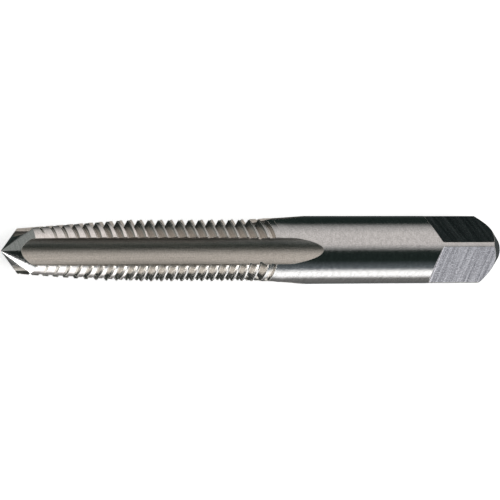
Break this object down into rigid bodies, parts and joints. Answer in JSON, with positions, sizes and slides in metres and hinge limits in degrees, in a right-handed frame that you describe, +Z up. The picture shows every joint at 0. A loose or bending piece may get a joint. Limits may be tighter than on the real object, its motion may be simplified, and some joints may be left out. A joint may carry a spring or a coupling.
{
  "type": "thread tap",
  "caption": "Straight-flute hand tap that cuts an internal screw thread, with a long tapered lead, a male point, a plain shank and a square drive end.",
  "frame": {"origin": "bottom centre of the tap's box: under the middle of its length, on the surface that it lies on", "axes": "+X along the tap's axis, from the point towards the drive square; +Z up, out of the uppermost flute"},
  "size_m": [0.0696, 0.008, 0.0081],
  "materials": {
    "tool_steel": "bright ground tool steel"
  },
  "bodies": {
    "root": {"tap": "tool_steel"}
  },
  "joints": []
}
